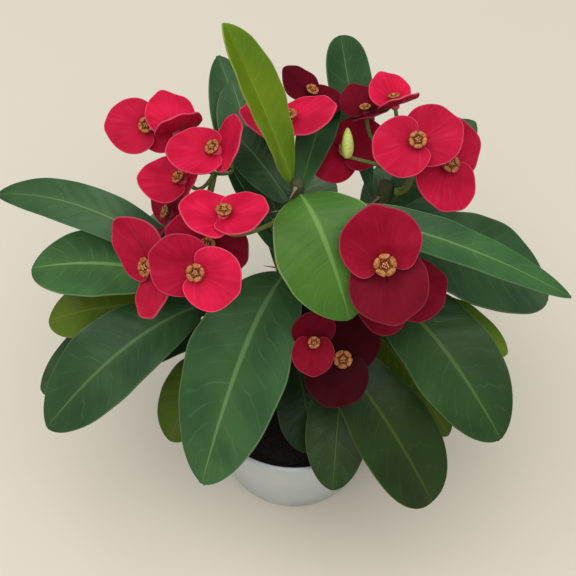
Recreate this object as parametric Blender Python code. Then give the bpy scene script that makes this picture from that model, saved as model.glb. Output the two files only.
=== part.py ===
"""Crown of thorns plant in its pot: woody thorned stems, leathery leaves and red paired bracts.

Sizes are millimetres in the tables below and metres in the model. +Z is up, the origin is the
centre of the pot's underside, and the side that faces -Y is the front.
"""
import math
import random

import bmesh
import bpy
from mathutils import Matrix, Vector
from mathutils.bvhtree import BVHTree

MM = 0.001
GAP = 0.3            # clearance between pieces that touch

# Pot
POT_HEIGHT = 100.0
POT_RIM_RADIUS = 60.0
POT_BASE_RADIUS = 47.0
POT_WALL = 2.2
POT_FLOOR = 4.0
POT_LIP = 5.0        # height of the thicker rolled lip
POT_LIP_STEP = 0.8   # how far the wall steps in under the lip
POT_EDGE = 1.2       # rounding of the rim and of the foot
POT_SIDES = 32

# Soil
SOIL_TOP = 90.0
SOIL_BUMP = 1.6
SOIL_RINGS = 4
SOIL_EDGE_DROP = 2.0
HOLE_ROOM = 1.2      # room round a stem in its hole

# Leaves, bracts and stalks
LEAF_THICKNESS = 1.0
LEAF_FOOT_ROOM = 0.6
BRACT_THICKNESS = 0.9
BRACT_SPOKES = 16
BRACT_RADIUS = 14.4
BRACT_OFFSET = 7.8   # from the bloom's axis to the middle of a bract
BRACT_STRETCH = 1.06 # a bract is a little wider than long
BRACT_DISH = 1.2     # how far its edge stands above its middle
BRACT_RIPPLE = 0.5
BRACT_POINT = 0.07   # the small point at its outer edge, as a share of its radius
UPPER_LIFT = 1.1     # height of the upper and the lower bract on the collar
LOWER_LIFT = -1.5
COLLAR_RADIUS = 3.4
NOTCH = 0.64         # depth of the notch at the collar, as a share of the bract's radius
COLLAR_HOLE = 1.6
COLLAR_FOOT = -2.4
STALK_RADIUS = 1.0
TRUNK_RADIUS = 1.9
STALK_FOOT_ROOM = 0.9
CUP_RADIUS = 4.6
CUP_HEIGHT = 3.0
CUP_ROOM = 0.5       # between the collar and the cup above it
BUD_PROFILE = [(0, -7), (2.3, -6), (3.3, -1), (2.6, 4), (1.1, 8), (0, 8.5)]
THORN_LENGTH = 10.0
THORN_RADIUS = 1.0
THORN_STEP = 6.0

# Stems: points of the axis and the radius at the foot and the tip
STEMS = {
    "stem_centre": {"path": [(0, 2, 64), (0, 3, 95), (-2, 8, 150), (-3, 16, 215), (1, 24, 272)],
                    "radius": (6.5, 3.4)},
    "stem_left": {"path": [(-24, 2, 64), (-27, 2, 95), (-38, 5, 150), (-50, 9, 205), (-56, 12, 226)],
                  "radius": (6.0, 4.2)},
    "stem_right": {"path": [(22, 16, 64), (25, 17, 95), (34, 30, 150), (44, 46, 205), (49, 54, 228)],
                   "radius": (6.0, 4.2)},
}

# Leaves: stem, height of the foot, tip, width, arch above the straight line, roll, fold, wave, belly
# (0 is widest near the tip, 1 is pointed and widest in the middle), colour
LEAVES = {
    "leaf_top_front": ("stem_centre", 264, (26, -32, 232), 54, 12, 0, 8, 0.8, 0.8, "leaf_fresh"),
    "leaf_top_young": ("stem_centre", 266, (-33, 56, 345), 25, 6, 0, 36, 0.3, 0.6, "leaf_young"),
    "leaf_top_folded": ("stem_centre", 252, (18, 97, 247), 22, 0, 0, 20, 0.4, 0.1, "leaf_mature"),
    "leaf_top_back": ("stem_centre", 250, (-34, 66, 256), 27, 4, 0, 12, 0.5, 0.7, "leaf_mature"),
    "leaf_front_large": ("stem_centre", 205, (-51, -78, 128), 58, 26, 6, 8, 1.0, 0.7, "leaf_mature"),
    "leaf_front_low": ("stem_right", 126, (21, -76, 112), 36, 16, 0, 10, 0.8, 0.2, "leaf_mature"),
    "leaf_front_right": ("stem_centre", 158, (77, -81, 107), 48, 24, 0, 8, 1.0, -0.3, "leaf_mature"),
    "leaf_front_inner": ("stem_centre", 125, (10, -54, 112), 34, 12, 0, 10, 0.6, 0.3, "leaf_mature"),
    "leaf_back_tall": ("stem_centre", 208, (-42, 121, 250), 36, 4, 0, 14, 0.6, 0.9, "leaf_mature"),
    "leaf_back_blunt": ("stem_centre", 216, (-34, 98, 256), 32, 0, 0, 10, 0.6, 0.2, "leaf_mature"),
    "leaf_back_low": ("stem_centre", 172, (5, 122, 138), 46, 24, 0, 8, 1.0, 0.4, "leaf_mature"),
    "leaf_right_long": ("stem_centre", 250, (143, -6, 208), 22, 14, 6, 8, 1.0, 0.9, "leaf_mature"),
    "leaf_left_front": ("stem_left", 182, (-134, -55, 152), 47, 18, 0, 8, 1.0, 0.5, "leaf_mature"),
    "leaf_left_yellow": ("stem_left", 170, (-138, 6, 160), 40, 12, 0, 8, 0.8, 0.4, "leaf_young"),
    "leaf_left_middle": ("stem_left", 196, (-143, 21, 192), 43, 12, 0, 8, 0.8, 0.5, "leaf_mature"),
    "leaf_left_long": ("stem_left", 209, (-164, 60, 206), 24, 22, -24, 8, 0.8, 1.0, "leaf_mature"),
    "leaf_left_low": ("stem_left", 150, (-149, -14, 114), 44, 20, 0, 8, 0.8, 0.5, "leaf_mature"),
    "leaf_left_olive": ("stem_left", 138, (-72, -46, 112), 34, 14, 0, 8, 0.8, 0.4, "leaf_young"),
    "leaf_left_back": ("stem_left", 162, (-75, 98, 138), 44, 22, 0, 8, 1.0, 0.4, "leaf_mature"),
    "leaf_right_under": ("stem_right", 184, (144, 22, 158), 58, 16, 0, 8, 1.0, 0.6, "leaf_mature"),
    "leaf_right_front": ("stem_right", 166, (113, -56, 138), 53, 20, 0, 8, 1.0, 0.4, "leaf_mature"),
    "leaf_right_fresh": ("stem_right", 146, (124, 2, 128), 30, 12, 0, 8, 0.8, 0.4, "leaf_young"),
    "leaf_right_low": ("stem_right", 138, (90, -38, 100), 26, 10, 0, 8, 0.6, 0.2, "leaf_young"),
    "leaf_right_tip": ("stem_right", 206, (97, 87, 236), 28, 2, 0, 10, 0.5, 0.6, "leaf_mature"),
    "leaf_right_top": ("stem_right", 208, (24, 124, 263), 27, -7, 0, 26, 0.4, -0.8, "leaf_mature"),
    "leaf_right_back": ("stem_right", 172, (86, 116, 142), 50, 22, 0, 8, 1.0, 0.5, "leaf_mature"),
}

# Stalks: stem, height of the foot and the place where the stalk forks
STALKS = {
    "stalks_left_back": ("stem_left", 219, (-42, 50, 242)),
    "stalks_left_front": ("stem_left", 214, (-47, -12, 236)),
    "stalks_centre_left": ("stem_centre", 240, (-10, 12, 253)),
    "stalks_centre_back": ("stem_centre", 236, (-8, 50, 248)),
    "stalks_right_back": ("stem_right", 222, (60, 50, 240)),
    "stalks_right_front": ("stem_centre", 234, (30, -2, 236)),
    "stalks_centre_front": ("stem_centre", 192, (-6, -12, 176)),
}

# Blooms: stalks, middle, lean from upright, direction of the lean, direction of the first bract,
# size, and how far the bracts stand up
BLOOMS = {
    "bloom_left_outer": ("stalks_left_back", (-75, 65, 260), 30, -110, 181, 0.95, 10),
    "bloom_left_high": ("stalks_left_back", (-59, 52, 272), 34, 108, 112, 0.82, 38),
    "bloom_left_inner": ("stalks_left_back", (-37, 31, 283), 28, 190, 184, 0.89, 34),
    "bloom_left_side": ("stalks_left_back", (-55, 33, 256), 36, 180, 172, 0.87, 32),
    "bloom_left_below": ("stalks_left_back", (-62, 28, 234), 56, 180, 88, 0.87, 30),
    "bloom_left_centre": ("stalks_centre_left", (-34, -1, 275), 10, 90, -8, 0.92, 18),
    "bloom_left_lower": ("stalks_left_front", (-44, 2, 247), 35, -80, -25, 0.93, 14),
    "bloom_left_front": ("stalks_left_front", (-47, -25, 266), 36, -90, -28, 1.0, 12),
    "bloom_left_corner": ("stalks_left_front", (-68, -10, 246), 55, -150, 90, 1.12, 26),
    "bloom_top_back": ("stalks_centre_back", (-4, 59, 269), 16, 90, 0, 1.05, 20),
    "bloom_top_dark": ("stalks_centre_back", (7, 87, 258), 22, 15, 160, 0.8, 14),
    "bloom_right_inner": ("stalks_right_back", (26, 68, 236), 32, -80, 32, 0.95, 14),
    "bloom_right_dark": ("stalks_right_back", (36, 71, 262), 22, 110, 115, 0.7, 28),
    "bloom_right_high": ("stalks_right_back", (50, 69, 272), 30, 110, 110, 0.7, 34),
    "bloom_right_centre": ("stalks_right_back", (59, 43, 276), 26, -90, 205, 1.02, 10),
    "bloom_right_outer": ("stalks_right_back", (76, 46, 252), 30, -50, -95, 1.12, 12),
    "bloom_front_right": ("stalks_right_front", (42, -15, 256), 34, -90, 100, 1.28, 14),
    "bloom_front_side": ("stalks_right_front", (52, -12, 220), 40, -60, 25, 1.08, 12),
    "bloom_front_low": ("stalks_centre_front", (8, -31, 208), 44, -70, -84, 0.74, 20),
    "bloom_front_dark": ("stalks_centre_front", (24, -29, 184), 34, -80, -105, 1.15, 12),
}

# A closed bud: stalks, middle, lean, direction of the lean
BUDS = {
    "bud_right": ("stalks_right_back", (26, 52, 262), 50, 90),
}

COLOURS = {
    "pot_plastic": ((0.60, 0.63, 0.64), 0.35),
    "potting_soil": ((0.020, 0.015, 0.012), 0.95),
    "stem_bark": ((0.16, 0.12, 0.08), 0.8),
    "stalk_green": ((0.13, 0.22, 0.07), 0.5),
    "leaf_mature": ((0.035, 0.105, 0.045), 0.45),
    "leaf_fresh": ((0.09, 0.24, 0.05), 0.42),
    "leaf_young": ((0.16, 0.26, 0.03), 0.42),
    "bract_red": ((0.65, 0.012, 0.055), 0.5),
}


def clear_scene():
    for thing in list(bpy.data.objects):
        bpy.data.objects.remove(thing, do_unlink=True)


def material(slot):
    found = bpy.data.materials.get(slot)
    if found:
        return found
    colour, roughness = COLOURS[slot]
    made = bpy.data.materials.new(slot)
    made.use_nodes = True
    shader = made.node_tree.nodes["Principled BSDF"]
    shader.inputs["Base Color"].default_value = (*colour, 1.0)
    shader.inputs["Roughness"].default_value = roughness
    return made


def add_object(name, vertices, faces, slot):
    """An object from points in millimetres."""
    mesh = bpy.data.meshes.new(name)
    mesh.from_pydata([Vector(point) * MM for point in vertices], [], faces)
    mesh.validate()
    mesh.materials.append(material(slot))
    made = bpy.data.objects.new(name, mesh)
    bpy.context.scene.collection.objects.link(made)
    return made


def evaluated_mesh(thing):
    bpy.context.view_layer.update()
    graph = bpy.context.evaluated_depsgraph_get()
    return bpy.data.meshes.new_from_object(thing.evaluated_get(graph))


def apply_modifiers(thing):
    mesh = evaluated_mesh(thing)
    thing.modifiers.clear()
    thing.data = mesh
    return thing


def point_outwards(thing):
    """Merge doubled points and turn every face outwards."""
    work = bmesh.new()
    work.from_mesh(thing.data)
    bmesh.ops.remove_doubles(work, verts=work.verts, dist=0.00002)
    bmesh.ops.recalc_face_normals(work, faces=work.faces)
    work.to_mesh(thing.data)
    work.free()
    return thing


def triangulated(thing):
    work = bmesh.new()
    work.from_mesh(thing.data)
    bmesh.ops.triangulate(work, faces=work.faces)
    work.to_mesh(thing.data)
    work.free()
    return thing


def join(first, others):
    """One Boolean union of the first object with all the others, which are then removed."""
    group = bpy.data.collections.new(first.name + "_pieces")
    bpy.context.scene.collection.children.link(group)
    for piece in others:
        bpy.context.scene.collection.objects.unlink(piece)
        group.objects.link(piece)
    union = first.modifiers.new("union", "BOOLEAN")
    union.operation = "UNION"
    union.solver = "EXACT"
    union.operand_type = "COLLECTION"
    union.collection = group
    apply_modifiers(first)
    for piece in others:
        bpy.data.objects.remove(piece, do_unlink=True)
    bpy.data.collections.remove(group)
    return first


def smooth(thing, angle=40.0):
    thing.data.shade_smooth()
    thing.data.set_sharp_from_angle(angle=math.radians(angle))
    return thing


def turned(name, profile, slot, sides, matrix=Matrix(), scallop=0.0):
    """A closed body turned about Z from (radius, height) points; radius 0 closes an end.

    A scallop draws every second point in and out, as on a lobed cup."""
    vertices = []
    rows = []
    for radius, height in profile:
        if radius == 0:
            rows.append([len(vertices)])
            vertices.append((0, 0, height))
            continue
        rows.append(list(range(len(vertices), len(vertices) + sides)))
        for side in range(sides):
            angle = 2 * math.pi * side / sides
            reach = radius * (1 + scallop * (-1) ** side * min(1, radius / CUP_RADIUS))
            vertices.append((reach * math.cos(angle), reach * math.sin(angle), height))
    faces = []
    pairs = list(zip(rows, rows[1:]))
    if len(rows[0]) > 1:
        pairs.append((rows[-1], rows[0]))
    for lower, upper in pairs:
        for side in range(sides):
            after = (side + 1) % sides
            if len(lower) == 1:
                faces.append((lower[0], upper[after], upper[side]))
            elif len(upper) == 1:
                faces.append((lower[side], lower[after], upper[0]))
            else:
                faces.append((lower[side], lower[after], upper[after], upper[side]))
    vertices = [matrix @ Vector(point) for point in vertices]
    return point_outwards(add_object(name, vertices, faces, slot))


def tube(name, points, radii, sides, slot):
    """A closed tube with flat ends through the points."""
    points = [Vector(point) for point in points]
    vertices = []
    faces = []
    across = Vector((1, 0, 0))
    for index, point in enumerate(points):
        before = points[max(index - 1, 0)]
        after = points[min(index + 1, len(points) - 1)]
        along = (after - before).normalized()
        across = (across - along * across.dot(along)).normalized()
        second = along.cross(across)
        for side in range(sides):
            angle = 2 * math.pi * side / sides
            vertices.append(point + radii[index] * (across * math.cos(angle) + second * math.sin(angle)))
    for row in range(len(points) - 1):
        for side in range(sides):
            after = (side + 1) % sides
            start = row * sides
            faces.append((start + side, start + after, start + sides + after, start + sides + side))
    faces.append(tuple(range(sides)))
    faces.append(tuple(range((len(points) - 1) * sides, len(points) * sides)))
    return point_outwards(add_object(name, vertices, faces, slot))


def curve_through(points, steps):
    """Points along a Catmull-Rom curve through the given ones."""
    points = [Vector(point) for point in points]
    ends = [2 * points[0] - points[1]] + points + [2 * points[-1] - points[-2]]
    result = []
    for index in range(1, len(ends) - 2):
        a, b, c, d = ends[index - 1:index + 3]
        for step in range(steps):
            t = step / steps
            result.append(0.5 * (2 * b + (c - a) * t + (2 * a - 5 * b + 4 * c - d) * t * t
                                 + (3 * b - a - 3 * c + d) * t ** 3))
    return result + [points[-1]]


def stem_at(stem, height):
    """The stem's axis point, radius and direction at a height."""
    path = curve_through(STEMS[stem]["path"], 8)
    foot, tip = STEMS[stem]["radius"]
    for low, high in zip(path, path[1:]):
        if low.z <= height <= high.z:
            share = (height - low.z) / (high.z - low.z)
            whole = (height - path[0].z) / (path[-1].z - path[0].z)
            return low.lerp(high, share), foot + (tip - foot) * whole, (high - low).normalized()
    raise ValueError(stem)


def seat_on_stem(stem, height, end, room):
    """A level point just clear of the stem on the side of an end point, and the way it faces."""
    axis, radius, lean = stem_at(stem, height)
    heading = Vector((end[0] - axis.x, end[1] - axis.y, 0)).normalized()
    reach = radius / math.sqrt(1 - lean.dot(heading) ** 2)
    return axis + heading * (reach + room), heading


def make_pot():
    slope = (POT_RIM_RADIUS - POT_BASE_RADIUS) / POT_HEIGHT
    under_lip = POT_BASE_RADIUS + slope * (POT_HEIGHT - POT_LIP)
    inner_foot = POT_BASE_RADIUS + slope * POT_FLOOR - POT_WALL
    inner_rim = POT_RIM_RADIUS - POT_WALL
    profile = [(0, 0), (POT_BASE_RADIUS - POT_EDGE, 0), (POT_BASE_RADIUS, POT_EDGE),
               (under_lip - POT_LIP_STEP, POT_HEIGHT - POT_LIP - 2 * POT_LIP_STEP),
               (POT_RIM_RADIUS - POT_LIP_STEP / 2, POT_HEIGHT - POT_LIP),
               (POT_RIM_RADIUS, POT_HEIGHT - POT_EDGE), (POT_RIM_RADIUS - POT_EDGE, POT_HEIGHT),
               (inner_rim, POT_HEIGHT - POT_EDGE), (inner_foot, POT_FLOOR), (0, POT_FLOOR)]
    return smooth(turned("pot", profile, "pot_plastic", POT_SIDES))


def pot_inside_radius(height):
    """Radius of the pot's inner wall at a height."""
    slope = (POT_RIM_RADIUS - POT_BASE_RADIUS) / POT_HEIGHT
    foot = POT_BASE_RADIUS + slope * POT_FLOOR - POT_WALL
    rim = POT_RIM_RADIUS - POT_WALL
    share = (height - POT_FLOOR) / (POT_HEIGHT - POT_EDGE - POT_FLOOR)
    return foot + (rim - foot) * share


def make_soil():
    """A filling with a lumpy top and one plain hole for each stem."""
    lumps = random.Random(7)
    edge = pot_inside_radius(SOIL_TOP) - 2 * GAP
    vertices = [(0, 0, POT_FLOOR + GAP), (0, 0, SOIL_TOP)]
    for radius, height in ((pot_inside_radius(POT_FLOOR) - 2 * GAP, POT_FLOOR + GAP),
                           (edge, SOIL_TOP - SOIL_EDGE_DROP)):
        for side in range(POT_SIDES):
            angle = 2 * math.pi * side / POT_SIDES
            vertices.append((radius * math.cos(angle), radius * math.sin(angle), height))
    foot = 2
    rings = [2 + POT_SIDES]
    for ring in range(1, SOIL_RINGS):
        rings.append(len(vertices))
        radius = edge * (1 - ring / SOIL_RINGS)
        for side in range(POT_SIDES):
            angle = 2 * math.pi * side / POT_SIDES
            vertices.append((radius * math.cos(angle), radius * math.sin(angle),
                             SOIL_TOP + lumps.uniform(-SOIL_BUMP, SOIL_BUMP)))
    faces = []
    for side in range(POT_SIDES):
        after = (side + 1) % POT_SIDES
        faces.append((0, foot + after, foot + side))
        faces.append((foot + side, foot + after, rings[0] + after, rings[0] + side))
        for outer, inner in zip(rings, rings[1:]):
            faces.append((outer + side, outer + after, inner + after, inner + side))
        faces.append((rings[-1] + side, rings[-1] + after, 1))
    soil = triangulated(point_outwards(add_object("soil", vertices, faces, "potting_soil")))
    for stem, spec in STEMS.items():
        low, high = [Vector(point) for point in spec["path"][:2]]
        lean = (high - low).normalized()
        reach = (POT_HEIGHT - low.z) / lean.z
        hole = tube(stem + "_hole", [low - lean * GAP * 2, low + lean * reach],
                    [spec["radius"][0] + HOLE_ROOM] * 2, 12, "potting_soil")
        cut = soil.modifiers.new("hole", "BOOLEAN")
        cut.operation = "DIFFERENCE"
        cut.solver = "MANIFOLD"
        cut.object = hole
        apply_modifiers(soil)
        bpy.data.objects.remove(hole, do_unlink=True)
    return soil


def surface_trees():
    """The surfaces of what is built so far, for keeping thorns clear of them."""
    trees = []
    for thing in bpy.data.objects:
        corners = [vertex.co for vertex in thing.data.vertices]
        trees.append(BVHTree.FromPolygons(corners, [face.vertices for face in thing.data.polygons]))
    return trees


def make_stem(name, neighbours):
    """A woody stem with thorns standing out wherever no leaf or stalk is in their way."""
    spec = STEMS[name]
    path = curve_through(spec["path"], 3)
    foot, tip = spec["radius"]
    radii = [foot + (tip - foot) * (point.z - path[0].z) / (path[-1].z - path[0].z) for point in path]
    stem = tube(name, path, radii, 9, "stem_bark")
    thorns = []
    height = SOIL_TOP + 10
    turn = 0.0
    while height < spec["path"][-1][2] - 8:
        turn += math.radians(137.5)
        height += THORN_STEP
        axis, radius, _ = stem_at(name, height)
        out = Vector((math.cos(turn), math.sin(turn), 0.25)).normalized()
        root = axis + out * radius * 0.45
        point = axis + out * (radius + THORN_LENGTH)
        ways = [(root.lerp(point, step / 4) * MM) for step in range(2, 5)]
        nearest = min(tree.find_nearest(way)[3] for tree in neighbours for way in ways)
        if nearest > (THORN_RADIUS + 1) * MM:
            thorns.append(tube(name + "_thorn", [root, point], [THORN_RADIUS * 1.3, 0.25], 3, "stem_bark"))
    return smooth(join(stem, thorns))


def blade_width(share, belly):
    """Half the leaf's width as a share of its widest, from foot (0) to tip (1)."""
    foot, tip, bend = 0.85 - 0.4 * belly, 3.2 - 1.2 * belly, 0.55 + 0.15 * belly
    widest = (foot / (foot + tip * bend)) ** (1 / tip)
    body = share ** foot * (1 - share ** tip) ** bend
    return max(0.07, body / (widest ** foot * (1 - widest ** tip) ** bend))


def make_leaf(name):
    stem, height, tip, width, arch, roll, fold, wave, belly, slot = LEAVES[name]
    tip = Vector(tip)
    foot, heading = seat_on_stem(stem, height, tip, LEAF_FOOT_ROOM)
    middle = foot.lerp(tip, 0.45) + Vector((0, 0, 2 * arch))
    side = Vector((-heading.y, heading.x, 0))
    shares = [0, 0.12, 0.30, 0.50, 0.70, 0.86, 0.96, 1.0]
    columns = [-1, -0.5, 0, 0.5, 1]
    vertices = []
    seed = sum(ord(letter) for letter in name)
    for share in shares:
        point = foot * (1 - share) ** 2 + middle * 2 * share * (1 - share) + tip * share ** 2
        along = ((middle - foot) * (1 - share) + (tip - middle) * share).normalized()
        across = (side - along * side.dot(along)).normalized()
        across = Matrix.Rotation(math.radians(roll) * min(1, share * 3), 3, along) @ across
        up = across.cross(along) * -1
        if up.z < 0 and abs(along.z) < 0.9:
            up = -up
        half = blade_width(share, belly) * width / 2
        slant = math.radians(fold) * min(1, share * 4)
        for column in columns:
            ripple = wave * math.sin(share * 11 + seed + (2 if column > 0 else 0)) * column ** 2
            lift = abs(column) * half * math.sin(slant) + ripple * math.sin(math.pi * share)
            vertices.append(point + across * column * half * math.cos(slant) + up * lift)
    faces = []
    wide = len(columns)
    for row in range(len(shares) - 1):
        for column in range(wide - 1):
            a = row * wide + column
            b, c, d = a + 1, a + wide + 1, a + wide
            if column < wide // 2:
                faces += [(a, b, c), (a, c, d)]
            else:
                faces += [(a, b, d), (b, c, d)]
    leaf = add_object(name, vertices, faces, slot)
    wall = leaf.modifiers.new("thickness", "SOLIDIFY")
    wall.thickness = LEAF_THICKNESS * MM
    wall.offset = 0.0
    return smooth(point_outwards(apply_modifiers(leaf)), 60)


def bloom_matrix(spec):
    """Places a bloom: Z along its axis, X along its first bract."""
    _, middle, lean, toward, first, size, _ = spec
    tilt = math.radians(lean)
    heading = math.radians(toward)
    axis = Vector((math.sin(tilt) * math.cos(heading), math.sin(tilt) * math.sin(heading), math.cos(tilt)))
    ahead = Vector((math.cos(math.radians(first)), math.sin(math.radians(first)), 0))
    ahead = (ahead - axis * ahead.dot(axis)).normalized()
    side = axis.cross(ahead)
    turn = Matrix((ahead, side, axis)).transposed().to_4x4()
    return Matrix.Translation(Vector(middle)) @ turn @ Matrix.Scale(size, 4)


def collar_top(stand):
    """The collar reaches just above the upper bract's inner edge."""
    return 2.0 + 3.7 * math.tan(math.radians(stand))


def make_bract(name, matrix, turned_over, stand, lift):
    """A round bract with a notch at the collar and a small point outside."""
    vertices = []
    slope = math.tan(math.radians(stand))

    def surface(x, y, reach):
        rise = lift + slope * (x + math.hypot(x, 4.0)) / 2
        around = math.atan2(y, x - BRACT_OFFSET)
        rise += reach * (BRACT_DISH + BRACT_RIPPLE * math.sin(3 * around + lift))
        point = Vector((x, y, rise))
        if turned_over:
            point.x, point.y = -point.x, -point.y
        return matrix @ point

    vertices.append(surface(BRACT_OFFSET, 0, 0))
    for spoke in range(BRACT_SPOKES):
        angle = 2 * math.pi * spoke / BRACT_SPOKES
        inward = abs(angle - math.pi)
        outward = min(angle, 2 * math.pi - angle)
        radius = BRACT_RADIUS * (1 - NOTCH * math.exp(-(inward / 0.38) ** 2))
        radius *= 1 + BRACT_POINT * math.exp(-(outward / 0.25) ** 2)
        vertices.append(surface(BRACT_OFFSET + radius * math.cos(angle),
                                BRACT_STRETCH * radius * math.sin(angle), 1))
    faces = [(0, 1 + spoke, 1 + (spoke + 1) % BRACT_SPOKES) for spoke in range(BRACT_SPOKES)]
    bract = add_object(name, vertices, faces, "bract_red")
    wall = bract.modifiers.new("thickness", "SOLIDIFY")
    wall.thickness = BRACT_THICKNESS * MM
    wall.offset = 0.0
    return point_outwards(apply_modifiers(bract))


def make_bloom(name):
    """Two overlapping bracts on a short collar that the stalk passes through."""
    spec = BLOOMS[name]
    matrix = bloom_matrix(spec)
    stand = spec[-1]
    top = collar_top(stand)
    profile = [(COLLAR_HOLE, COLLAR_FOOT), (COLLAR_RADIUS, COLLAR_FOOT),
               (COLLAR_RADIUS, top), (COLLAR_HOLE, top)]
    collar = turned(name, profile, "bract_red", 8, matrix)
    upper = make_bract(name + "_upper", matrix, False, stand, UPPER_LIFT)
    lower = make_bract(name + "_lower", matrix, True, stand, LOWER_LIFT)
    return smooth(join(collar, [upper, lower]), 50)


def make_stalks(name):
    """A forked stalk that carries a lobed cup through the collar of each bloom."""
    stem, height, fork = STALKS[name]
    fork = Vector(fork)
    foot, heading = seat_on_stem(stem, height, fork, STALK_FOOT_ROOM)
    run = curve_through([foot, foot + heading * 8, fork], 2)
    trunk = tube(name, run, [TRUNK_RADIUS] * len(run), 6, "stalk_green")
    pieces = []
    for bloom, spec in BLOOMS.items():
        if spec[0] != name:
            continue
        matrix = bloom_matrix(spec)
        size, stand = spec[5], spec[6]
        up = (matrix.to_3x3() @ Vector((0, 0, 1))).normalized()
        middle = matrix.translation
        start = fork - (fork - foot).normalized() * 1.0
        low = middle - up * 6 * size
        bend = middle - up * 0.6 * (low - start).length
        run = []
        for step in range(4):
            t = step / 3
            run.append(start * (1 - t) ** 2 + bend * 2 * t * (1 - t) + low * t ** 2)
        cup_foot = collar_top(stand) + CUP_ROOM
        run.append(middle + up * (cup_foot + 1) * size)
        pieces.append(tube(bloom + "_stalk", run, [STALK_RADIUS] * len(run), 5, "stalk_green"))
        cup_top = cup_foot + CUP_HEIGHT
        profile = [(0, cup_foot), (CUP_RADIUS * 0.48, cup_foot), (CUP_RADIUS, cup_top),
                   (CUP_RADIUS * 0.57, cup_top - 0.4), (0, cup_top - 0.6)]
        pieces.append(turned(bloom + "_cup", profile, "stalk_green", 10, matrix, 0.12))
    for bud, (owner, middle, lean, toward) in BUDS.items():
        if owner == name:
            matrix = bloom_matrix((owner, middle, lean, toward, 0, 1.0, 0))
            up = (matrix.to_3x3() @ Vector((0, 0, 1))).normalized()
            low = Vector(middle) - up * 6
            pieces.append(tube(bud + "_stalk", [fork, fork.lerp(low, 0.5), low, Vector(middle)],
                               [STALK_RADIUS] * 4, 6, "stalk_green"))
            pieces.append(turned(bud, BUD_PROFILE, "stalk_green", 8, matrix))
    return smooth(join(trunk, pieces))


def main():
    clear_scene()
    make_pot()
    for name in LEAVES:
        make_leaf(name)
    for name in BLOOMS:
        make_bloom(name)
    for name in STALKS:
        make_stalks(name)
    neighbours = surface_trees()
    for name in STEMS:
        make_stem(name, neighbours)
    make_soil()


main()
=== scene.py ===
# Crown of thorns plant in its white pot: thorned stems, leathery leaves, red paired bracts.
# Sizes are millimetres, as in the part's source, but metres for the camera, the floor and the lights.
# +Z is up and -Y is the front.
import math
import random

import bpy
from mathutils import Matrix, Vector, noise


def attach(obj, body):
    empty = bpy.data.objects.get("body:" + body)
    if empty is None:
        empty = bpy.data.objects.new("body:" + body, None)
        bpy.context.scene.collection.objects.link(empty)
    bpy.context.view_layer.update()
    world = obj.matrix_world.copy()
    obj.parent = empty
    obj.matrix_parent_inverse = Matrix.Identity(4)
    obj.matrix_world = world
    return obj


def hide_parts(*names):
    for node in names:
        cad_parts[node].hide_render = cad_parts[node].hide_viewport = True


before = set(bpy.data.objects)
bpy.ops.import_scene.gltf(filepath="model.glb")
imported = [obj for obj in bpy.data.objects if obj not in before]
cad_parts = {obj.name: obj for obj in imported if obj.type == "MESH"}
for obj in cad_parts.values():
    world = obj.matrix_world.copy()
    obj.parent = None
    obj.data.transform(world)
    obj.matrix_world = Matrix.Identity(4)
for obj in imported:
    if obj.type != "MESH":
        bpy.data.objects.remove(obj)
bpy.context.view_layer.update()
mm = 0.001
print("frame loaded:", len(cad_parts), "nodes")


# Camera, floor and light

camera = {"place": (-0.004, -0.300, 0.727), "tilt": 30, "lens": 71.69}
floor = {"size": 6.0, "paint": (214, 207, 191)}
lights = {  # place, aimed at, size in metres, watts, colour
    "ceilingLight": ((0.05, -0.45, 2.4), (0, -0.1, 0.1), 2.8, 51.5, (1.0, 0.985, 0.965)),
    "windowLight": ((-1.2, 0.3, 1.6), (0, 0, 0.2), 0.9, 5.5, (1.0, 1.0, 1.0)),
}
world = {"paint": (236, 238, 240), "strength": 0.5}


def paint(red, green, blue):  # a colour as seen on screen, 0 to 255, for a shader
    def straight(value):
        value /= 255
        return value / 12.92 if value <= 0.04045 else ((value + 0.055) / 1.055) ** 2.4
    return (straight(red), straight(green), straight(blue), 1.0)


def deselectAll():
    bpy.ops.object.select_all(action="DESELECT")


def setCamera():
    bpy.ops.object.camera_add(location=camera["place"], rotation=(math.radians(camera["tilt"]), 0, 0))
    made = bpy.context.object
    made.data.lens = camera["lens"]
    bpy.context.scene.camera = made


def setLights():
    for name, (place, aim, size, power, colour) in lights.items():
        bpy.ops.object.light_add(type="AREA", location=place)
        made = bpy.context.object
        made.name = name
        made.data.shape = "DISK"
        made.data.size = size
        made.data.energy = power
        made.data.color = colour
        made.rotation_euler = (Vector(aim) - Vector(place)).to_track_quat("-Z", "Y").to_euler()
    sky = bpy.data.worlds.new("softRoom")
    sky.use_nodes = True
    background = sky.node_tree.nodes["Background"]
    background.inputs["Color"].default_value = paint(*world["paint"])
    background.inputs["Strength"].default_value = world["strength"]
    bpy.context.scene.world = sky
    bpy.context.scene.view_settings.view_transform = "Standard"


# Shader maths: a wire is one socket, and arithmetic on wires adds the nodes

class Wire:
    def __init__(self, finish, socket):
        self.finish = finish
        self.socket = socket

    def __add__(self, other):
        return self.finish.maths("ADD", self, other)

    __radd__ = __add__

    def __sub__(self, other):
        return self.finish.maths("SUBTRACT", self, other)

    def __rsub__(self, other):
        return self.finish.maths("SUBTRACT", other, self)

    def __mul__(self, other):
        return self.finish.maths("MULTIPLY", self, other)

    __rmul__ = __mul__

    def __pow__(self, other):
        return self.finish.maths("POWER", self, other)

    def size(self):
        return self.finish.maths("ABSOLUTE", self)

    def between(self, low, high):  # 0 below low, 1 above high, smooth in between
        settings = {"interpolation_type": "SMOOTHSTEP"}
        return self.finish.node("MapRange", settings, {"Value": self, "From Min": low, "From Max": high})

    def peak(self, width):  # 1 wherever the value is whole, fading out over a width on both sides
        return 1 - self.finish.maths("PINGPONG", self, 0.5).between(0, width)


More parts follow.
